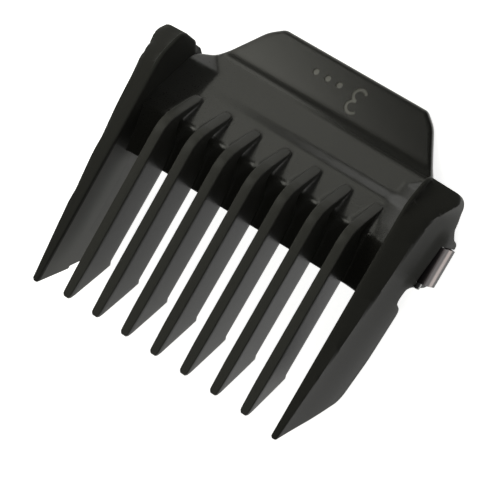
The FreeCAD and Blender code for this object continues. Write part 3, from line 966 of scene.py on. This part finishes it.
def tooth_row_tree():
    """Geometry Nodes: the incoming tooth, placed as number Number of Count on Pitch."""
    tree = bpy.data.node_groups.new("tooth_row", "GeometryNodeTree")
    face = tree.interface
    face.new_socket("Geometry", in_out="INPUT", socket_type="NodeSocketGeometry")
    for label, kind, value in (("Number", "NodeSocketInt", 1), ("Count", "NodeSocketInt", TOOTH_COUNT),
                               ("Pitch", "NodeSocketFloat", TOOTH_PITCH * MM)):
        face.new_socket(label, in_out="INPUT", socket_type=kind).default_value = value
    face.new_socket("Material", in_out="INPUT", socket_type="NodeSocketMaterial")
    face.new_socket("Geometry", in_out="OUTPUT", socket_type="NodeSocketGeometry")
    make, join = tree.nodes.new, tree.links.new
    given, out = make("NodeGroupInput"), make("NodeGroupOutput")
    half_row = make("ShaderNodeMath")
    half_row.operation = "MULTIPLY_ADD"
    half_row.inputs[1].default_value, half_row.inputs[2].default_value = -0.5, 0.5
    join(given.outputs["Count"], half_row.inputs[0])
    first = make("ShaderNodeMath")
    first.operation = "MULTIPLY"
    join(half_row.outputs[0], first.inputs[0])
    join(given.outputs["Pitch"], first.inputs[1])
    start, stride = make("ShaderNodeCombineXYZ"), make("ShaderNodeCombineXYZ")
    join(first.outputs[0], start.inputs["X"])
    join(given.outputs["Pitch"], stride.inputs["X"])
    row = make("GeometryNodeMeshLine")
    join(given.outputs["Count"], row.inputs["Count"])
    join(start.outputs[0], row.inputs["Start Location"])
    join(stride.outputs[0], row.inputs["Offset"])
    index = make("GeometryNodeInputIndex")
    wanted = make("ShaderNodeMath")
    wanted.operation = "SUBTRACT"
    wanted.inputs[1].default_value = 1
    join(given.outputs["Number"], wanted.inputs[0])
    same = make("FunctionNodeCompare")
    same.data_type, same.operation = "INT", "EQUAL"
    join(index.outputs[0], same.inputs[2])
    join(wanted.outputs[0], same.inputs[3])
    place = make("GeometryNodeInstanceOnPoints")
    join(row.outputs["Mesh"], place.inputs["Points"])
    join(same.outputs[0], place.inputs["Selection"])
    join(given.outputs["Geometry"], place.inputs["Instance"])
    real, paint = make("GeometryNodeRealizeInstances"), make("GeometryNodeSetMaterial")
    join(place.outputs["Instances"], real.inputs["Geometry"])
    join(real.outputs["Geometry"], paint.inputs["Geometry"])
    join(given.outputs["Material"], paint.inputs["Material"])
    join(paint.outputs["Geometry"], out.inputs["Geometry"])
    return tree


ROW_TREE = tooth_row_tree()
ROW_INPUTS = {item.name: item.identifier for item in ROW_TREE.interface.items_tree if item.in_out == "INPUT"}


def tooth_on_row(number):
    """Runs the row tree for one number and returns the placed tooth as a plain mesh."""
    carrier = link("carrier", tooth_mesh.copy())
    rule = carrier.modifiers.new("row", "NODES")
    rule.node_group = ROW_TREE
    rule[ROW_INPUTS["Number"]] = number
    rule[ROW_INPUTS["Count"]] = TOOTH_COUNT
    rule[ROW_INPUTS["Pitch"]] = TOOTH_PITCH * MM
    rule[ROW_INPUTS["Material"]] = TOOTH_PLASTIC
    placed = bpy.data.meshes.new_from_object(carrier.evaluated_get(bpy.context.evaluated_depsgraph_get()))
    bpy.data.objects.remove(carrier)
    return placed


for number in range(1, TOOTH_COUNT + 1):
    name = "tooth_%d" % number
    placed = hand_over(tooth_on_row(number), name, TOOTH_PLASTIC, "comb_body", [name])
    middle = sum(v.co.x for v in placed.data.vertices) / len(placed.data.vertices)
    print(name, "stands at x", round(middle / MM, 2), "mm")

# %% [markdown]
# ## Sprung steel clips
#
# Each clip is one strip of spring steel: an eye curled round the pin, a leaf on the outside, a
# rolled foot, and a nose that grips the clipper's flank. The strip's centre line is drawn once
# and given its thickness on both sides, which is how a press tool would be drawn.

# %% Strip, eye and pin
PIN_X, PIN_UP, PIN_RADIUS, STEEL = 26.9, -12.3, 0.5, 0.45
CLIP_FRONT, CLIP_REAR = EAR_FRONT + 1.05, EAR_REAR - 1.05
EYE_MIDDLE, EYE_UP = PIN_RADIUS + 0.05 + STEEL / 2, PIN_UP - 0.1
STRIP_LINE = [
    (PIN_X + EYE_MIDDLE, EYE_UP, 0),
    (27.85, -14.0, 3.0),
    (27.97, -17.95, 1.05),
    (26.6, -17.95, 0.9),
    (24.55, -15.6, 0.5),
    (25.8, -13.7, 0),
]


def strip_points():
    """The strip's centre line: round the eye first, then down the leaf to the nose."""
    angles = np.radians(np.arange(300, 0, -15))
    eye = np.array([(PIN_X + EYE_MIDDLE * math.cos(a), EYE_UP + EYE_MIDDLE * math.sin(a)) for a in angles])
    return np.concatenate([eye, rounded(STRIP_LINE, 0.25, closed=False)])


def strip_mesh(name):
    """The strip with its thickness, as wide as the slot in the ear lets it be."""
    line = strip_points()
    ahead = np.gradient(line, axis=0)
    normal = np.stack([-ahead[:, 1], ahead[:, 0]], axis=1)
    normal /= np.linalg.norm(normal, axis=1)[:, None]
    section = np.concatenate([line + normal * STEEL / 2, (line - normal * STEEL / 2)[::-1]])
    count = len(section)
    points = [(x, back, up) for back in (CLIP_FRONT, CLIP_REAR) for x, up in section]
    faces = []
    for i in range(count // 2 - 1):
        mate = count - 1 - i
        faces.append((i, i + 1, mate - 1, mate))
        faces.append((mate + count, mate - 1 + count, i + 1 + count, i + count))
    for i in range(count):
        k = (i + 1) % count
        faces.append((i, i + count, k + count, k))
    return mesh_from(name, points, faces)


def pin_mesh(name):
    """A drawn steel pin with chamfered ends."""
    profile = [(0.0, EAR_FRONT), (0.38, EAR_FRONT), (PIN_RADIUS, EAR_FRONT + 0.12),
               (PIN_RADIUS, EAR_REAR - 0.12), (0.38, EAR_REAR), (0.0, EAR_REAR)]
    around = 24
    points, faces = [], []
    for radius, back in profile:
        for k in range(around):
            a = 2 * math.pi * k / around
            points.append((PIN_X + radius * math.cos(a), back, PIN_UP + radius * math.sin(a)))
    for ring in range(len(profile) - 1):
        for k in range(around):
            n = (k + 1) % around
            a, b = ring * around, (ring + 1) * around
            faces.append((a + k, a + n, b + n, b + k))
    return mesh_from(name, points, faces)


clip_mesh, pin = softened(strip_mesh("spring_clip_right"), 0.09), pin_mesh("clip_pin_right")
left_pair = mirrored("spring_clip_left", clip_mesh), mirrored("clip_pin_left", pin)
for side, (clip, rod) in (("right", (clip_mesh, pin)), ("left", left_pair)):
    clip_name, pin_name = "spring_clip_" + side, "clip_pin_" + side
    hand_over(clip, clip_name, CLIP_STEEL, "clip_" + side, [clip_name], 50)
    hand_over(rod, pin_name, PIN_STEEL, "comb_body", [pin_name])
print("clip has", len(clip_mesh.polygons), "faces")

# %% [markdown]
# ## Ribs on the hidden side
#
# Turned over, the comb shows how it holds the blade: a cross rib behind the seat stops it, and a
# hook under the tab catches its rear edge. They are plain ribs, so each is an outline pushed along
# one axis with its edges softened.

# %% Stop rib and hook
RIB_CORNERS = [(30.6, -6.0, 0), (32.0, -6.0, 0), (32.0, -10.2, 0.4), (30.6, -10.2, 0.4)]
HOOK_CORNERS = [(44.9, -15.6, 0), (46.6, -16.2, 0), (46.6, -18.2, 0.5), (44.3, -18.2, 0.3), (44.9, -17.3, 0.2)]
rib = softened(prism("blade_stop_rib", RIB_CORNERS, 0, -15.0, 15.0), 0.15)
hand_over(rib, "blade_stop_rib", RIB_PLASTIC, "comb_body", ["blade_stop_rib"])
hook = softened(prism("heel_hook", HOOK_CORNERS, 0, -12.0, 12.0), 0.15)
hand_over(hook, "heel_hook", RIB_PLASTIC, "tab", ["heel_hook"])
print("rib has", len(rib.polygons), "faces, hook has", len(hook.polygons))

# %% [markdown]
# ## Floor and light
#
# Black satin plastic shows what it mirrors. A pale floor lights the upright faces from below, and
# soft boxes behind and to the left are mirrored in the sloping deck and tab. The fill box above the
# front is hidden from reflections, and the left box from everything but them. So the tops are filled
# a little, and the faces turned to the front, which mirror nothing, stay deep black.

# %% Studio
GLOW, GLOW_INNER, GLOW_OUTER = 0.86, 0.062, 0.085
FLOOR_REACH, FLOOR_LEVEL = 1.5, -0.0002
LIGHT_TINT = (1.0, 1.0, 0.90)
CENTRE = (0.0, 0.0, 0.008)


def pale_floor():
    """A floor of matt paper that glows under the comb, like a light table, and falls off around it."""
    material, tree, shader = new_material("pale_floor")
    shader.inputs["Roughness"].default_value = 0.9
    shader.inputs["Specular IOR Level"].default_value = 0.1
    place = tree.nodes.new("ShaderNodeTexCoord").outputs["Object"]
    mottle = noise(tree, place, 9.0, 2.0, "paper")
    shade = tree.nodes.new("ShaderNodeMixRGB")
    shade.inputs["Color1"].default_value = (0.86, 0.86, 0.86, 1)
    shade.inputs["Color2"].default_value = (0.90, 0.90, 0.90, 1)
    tree.links.new(mottle, shade.inputs["Fac"])
    tree.links.new(shade.outputs["Color"], shader.inputs["Base Color"])
    far = tree.nodes.new("ShaderNodeVectorMath")
    far.operation = "LENGTH"
    tree.links.new(place, far.inputs[0])
    fall = tree.nodes.new("ShaderNodeMapRange")
    fall.interpolation_type = "SMOOTHSTEP"
    for label, value in (("From Min", GLOW_INNER), ("From Max", GLOW_OUTER), ("To Min", GLOW), ("To Max", 0.02)):
        fall.inputs[label].default_value = value
    tree.links.new(far.outputs["Value"], fall.inputs["Value"])
    glow = tree.nodes.new("ShaderNodeCombineXYZ")
    for axis in glow.inputs:
        tree.links.new(fall.outputs["Result"], axis)
    tree.links.new(glow.outputs["Vector"], shader.inputs["Emission Color"])
    shader.inputs["Emission Strength"].default_value = 1.0
    mesh = bpy.data.meshes.new("floor")
    corners = [(a * FLOOR_REACH, b * FLOOR_REACH, FLOOR_LEVEL) for a, b in ((-1, -1), (1, -1), (1, 1), (-1, 1))]
    mesh.from_pydata(corners, [], [(0, 1, 2, 3)])
    mesh.materials.append(material)
    return link("floor", mesh)


def soft_box(name, place, width, height, radiance):
    """A rectangular soft box at place that faces the comb. radiance is its brightness."""
    light = bpy.data.lights.new(name, "AREA")
    light.shape, light.size, light.size_y = "RECTANGLE", width, height
    light.energy = radiance * math.pi * width * height
    light.color = LIGHT_TINT
    lamp = bpy.data.objects.new(name, light)
    bpy.context.scene.collection.objects.link(lamp)
    away = Vector(place) - Vector(CENTRE)
    lamp.matrix_world = Matrix.Translation(place) @ away.to_track_quat("Z", "Y").to_matrix().to_4x4()
    return lamp


def from_compass(bearing, climb, reach):
    """A place at bearing degrees from +Y towards +X, climb degrees above the comb's middle."""
    b, c = math.radians(bearing), math.radians(climb)
    out = reach * math.cos(c)
    return (out * math.sin(b), out * math.cos(b), reach * math.sin(c) + CENTRE[2])


pale_floor()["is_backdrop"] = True
soft_box("rear_low_box", from_compass(-42, 17, 0.45), 0.56, 0.11, 1.9)
soft_box("rear_mid_box", from_compass(-56, 34, 0.22), 0.13, 0.06, 1.6)
soft_box("rear_high_box", from_compass(-57, 57, 0.20), 0.135, 0.095, 2.9)
soft_box("left_box", from_compass(-97, 27, 0.30), 0.16, 0.12, 0.45).visible_diffuse = False
soft_box("fill_box", from_compass(150, 68, 0.55), 0.40, 0.30, 2.2).visible_glossy = False
world = bpy.data.worlds.new("studio")
world.use_nodes = True
backdrop = world.node_tree.nodes["Background"]
backdrop.inputs["Color"].default_value = (1, 1, 1, 1)
backdrop.inputs["Strength"].default_value = 0.04
bpy.context.scene.world = world
bpy.context.scene.view_settings.view_transform = "Standard"

# %% [markdown]
#
# Both boxes, of the imported model and of the visual model, are printed side by side. The visual
# model has to stay inside the box of the imported model.

# %% Write both boxes and finish
new_low, new_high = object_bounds()
for corner, cad, visual in (("low", cad_low, new_low), ("high", cad_high, new_high)):
    print(corner, [round(v / MM, 2) for v in cad], [round(v / MM, 2) for v in visual])
